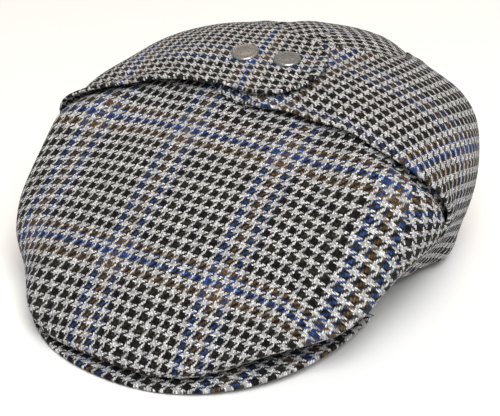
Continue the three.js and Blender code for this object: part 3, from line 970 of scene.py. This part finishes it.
# %% Flaps
flaps = {}
for name, flap in FLAPS.items():
    side = flap["side"]
    piece, rows, u, v = flat_grid(name, 110, 120)
    u = crowd(u)
    v = crowd(v)
    disk = flap_disk(flap["front"], flap["tab"], u, v)[:, ::side]
    disk_a = disk[..., 0] * side
    disk_b = disk[..., 1]
    on_dome = dome(disk_a, disk_b)
    # Close to the rim a flap moves out level, so that its lower edge stays at the rim's height.
    out = normal(dome, disk_a, disk_b)
    out[..., 2] *= ramp(0, 0.05, v)
    out /= np.linalg.norm(out, axis=-1, keepdims=True)
    from_front, from_back, _, from_tab = (d[:, ::side] for d in edge_distances(on_dome[:, ::side]))
    full = fullness(on_dome, hem=1.4, hem_share=0.55)
    full *= PRESSED_THIN + (1 - PRESSED_THIN) * ramp(0, PRESSED_WIDTH, from_back)
    lift = flap_lift(flap["over"], disk_a, disk_b) + FLAP_THICK / 2 * full
    lift += free_edge(flap["over"], disk_a, disk_b, v, from_front, from_tab)
    points = on_dome + out * lift[..., None]
    points[..., 2] += TABLE_GAP * (1 - ramp(0, 0.1, v))
    bend_grid(piece, rows, points)
    flat = unwrap_flat(piece, rows)
    pins = []
    for pin_a, pin_b in (flap["start"], flap["end"]):
        nearest = np.argmin(np.hypot(disk_a - pin_a, disk_b - pin_b))
        pins.append(flat[rows.ravel()[nearest]])
    band = np.array([WARP_CHECK, WEFT_CHECK]) * flap["band"]
    lay_weave(piece, turn_to_weave(flat, pins, band, flap["finer"]))
    pad_grid(piece, rows, full, FLAP_THICK)
    piece.data.materials.append(tweed)
    flaps[name] = piece
    print(name, len(piece.data.polygons), "faces")

# %% [markdown]
# ## The snap caps
# Two round snaps hold the tab. What shows is a pressed metal cap: a shallow dome inside a rolled rim.
# Pressing is a turned shape, so a disc is extruded and scaled row by row, as on a lathe, and its edges
# are softened by a small bevel. Its skirt is sunk into the cloth, because the snap squeezes it.

# %% Snap caps
# Radius and height of each row in millimetres, from the skirt over the rolled rim to the middle.
SKIRT_RADIUS = 6.9
SNAP_ROWS = [(7.2, 0.35), (6.95, 0.85), (6.5, 1.2), (6.1, 1.3), (5.7, 1.2), (3.3, 1.5), (1.2, 1.6)]
# The middles of the caps on the disk, and how far a skirt is sunk into the tab, in millimetres.
SNAPS = {"snap_cap_inner": (-0.1, -0.1), "snap_cap_outer": (0.015, -0.08)}
SUNK = 0.1
snaps = {}
for solid, (snap_a, snap_b) in SNAPS.items():
    bpy.ops.object.select_all(action="DESELECT")
    bpy.ops.mesh.primitive_circle_add(vertices=64, radius=SKIRT_RADIUS / 1000, fill_type="NGON")
    cap = bpy.context.object
    cap.name = solid.replace("snap_cap", "pewter_snap")
    bpy.ops.object.mode_set(mode="EDIT")
    bpy.ops.mesh.select_all(action="SELECT")
    radius, height = SKIRT_RADIUS, 0
    for next_radius, next_height in SNAP_ROWS:
        rise = (0, 0, (next_height - height) / 1000)
        bpy.ops.mesh.extrude_region_move(TRANSFORM_OT_translate={"value": rise})
        bpy.ops.transform.resize(value=(next_radius / radius, next_radius / radius, 1))
        radius, height = next_radius, next_height
    bpy.ops.mesh.select_all(action="SELECT")
    bpy.ops.mesh.normals_make_consistent(inside=False)
    bpy.ops.object.mode_set(mode="OBJECT")
    soft = cap.modifiers.new("pressed_edges", "BEVEL")
    soft.width = 0.00025
    soft.segments = 3
    soft.limit_method = "ANGLE"
    soft.angle_limit = math.radians(25)
    bpy.ops.object.modifier_apply(modifier=soft.name)
    bpy.ops.object.shade_smooth_by_angle(angle=math.radians(40))
    here_a = np.array([snap_a])
    here_b = np.array([snap_b])
    out = normal(dome, here_a, here_b)[0]
    seat = flap_lift(True, here_a, here_b)[0] + FLAP_THICK - SUNK
    cap.rotation_mode = "QUATERNION"
    cap.rotation_quaternion = Vector((0, 0, 1)).rotation_difference(Vector(out))
    cap.location = (dome(here_a, here_b)[0] + out * seat + SHIFT) / 1000
    bpy.ops.object.transform_apply(location=True, rotation=True, scale=True)
    snaps[solid] = cap
    print(cap.name, len(cap.data.polygons), "faces")

# %% [markdown]
# ## Pewter
# The caps are die-pressed brass with a dull pewter plate. Plating keeps a metal's colour in its
# reflection, softened by the grain of the die. That grain is drawn about 0.7 mm across, coarser than on a
# real cap, so that it shows.

# %% Pewter
DIE_GRAIN_PER_M = 1500.0
GRAIN_LOW = 0.3
GRAIN_HIGH = 0.7
pewter, pewter_out = new_material("pewter_plated_brass")
tree = pewter.node_tree
places = node(tree, "TexCoord")
grain = node(tree, "TexNoise", {"Vector": places.outputs["Object"], "Scale": DIE_GRAIN_PER_M, "Detail": 3.0})
grain = grain.outputs["Fac"]
rough = node(tree, "MapRange", {0: grain, 1: GRAIN_LOW, 2: GRAIN_HIGH, 3: 0.22, 4: 0.4})
tint = node(tree, "ValToRGB", {0: grain})
for stop, position, shade in zip(tint.color_ramp.elements, (GRAIN_LOW, GRAIN_HIGH), ("#939594", "#babcbb")):
    stop.position = position
    stop.color = colour(shade)
dents = node(tree, "Bump", {"Strength": 0.2, "Distance": 0.0002, "Height": grain})
look = {
    "Base Color": tint.outputs[0],
    "Metallic": 1.0,
    "Roughness": rough.outputs[0],
    "Normal": dents.outputs[0],
}
metal = node(tree, "BsdfPrincipled", look)
tree.links.new(metal.outputs[0], pewter_out.inputs["Surface"])
for cap in snaps.values():
    cap.data.materials.append(pewter)
print("pewter on", len(snaps), "caps")

# %% [markdown]
# ## The pieces in place
# The solids that the pieces stand for are hidden, and every piece is hung from one body, root.

# %% The pieces in place
pieces = [crown, peak, *flaps.values(), *snaps.values()]
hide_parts("crown")
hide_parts("peak")
for name, flap in FLAPS.items():
    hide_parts(flap["solid"])
for solid, cap in snaps.items():
    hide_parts(solid)
for piece in pieces:
    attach(piece, "root")
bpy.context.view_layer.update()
for piece in pieces:
    corners = np.array([c for c in piece.bound_box])
    print(piece.name, "from", corners.min(0).round(4), "to", corners.max(0).round(4))
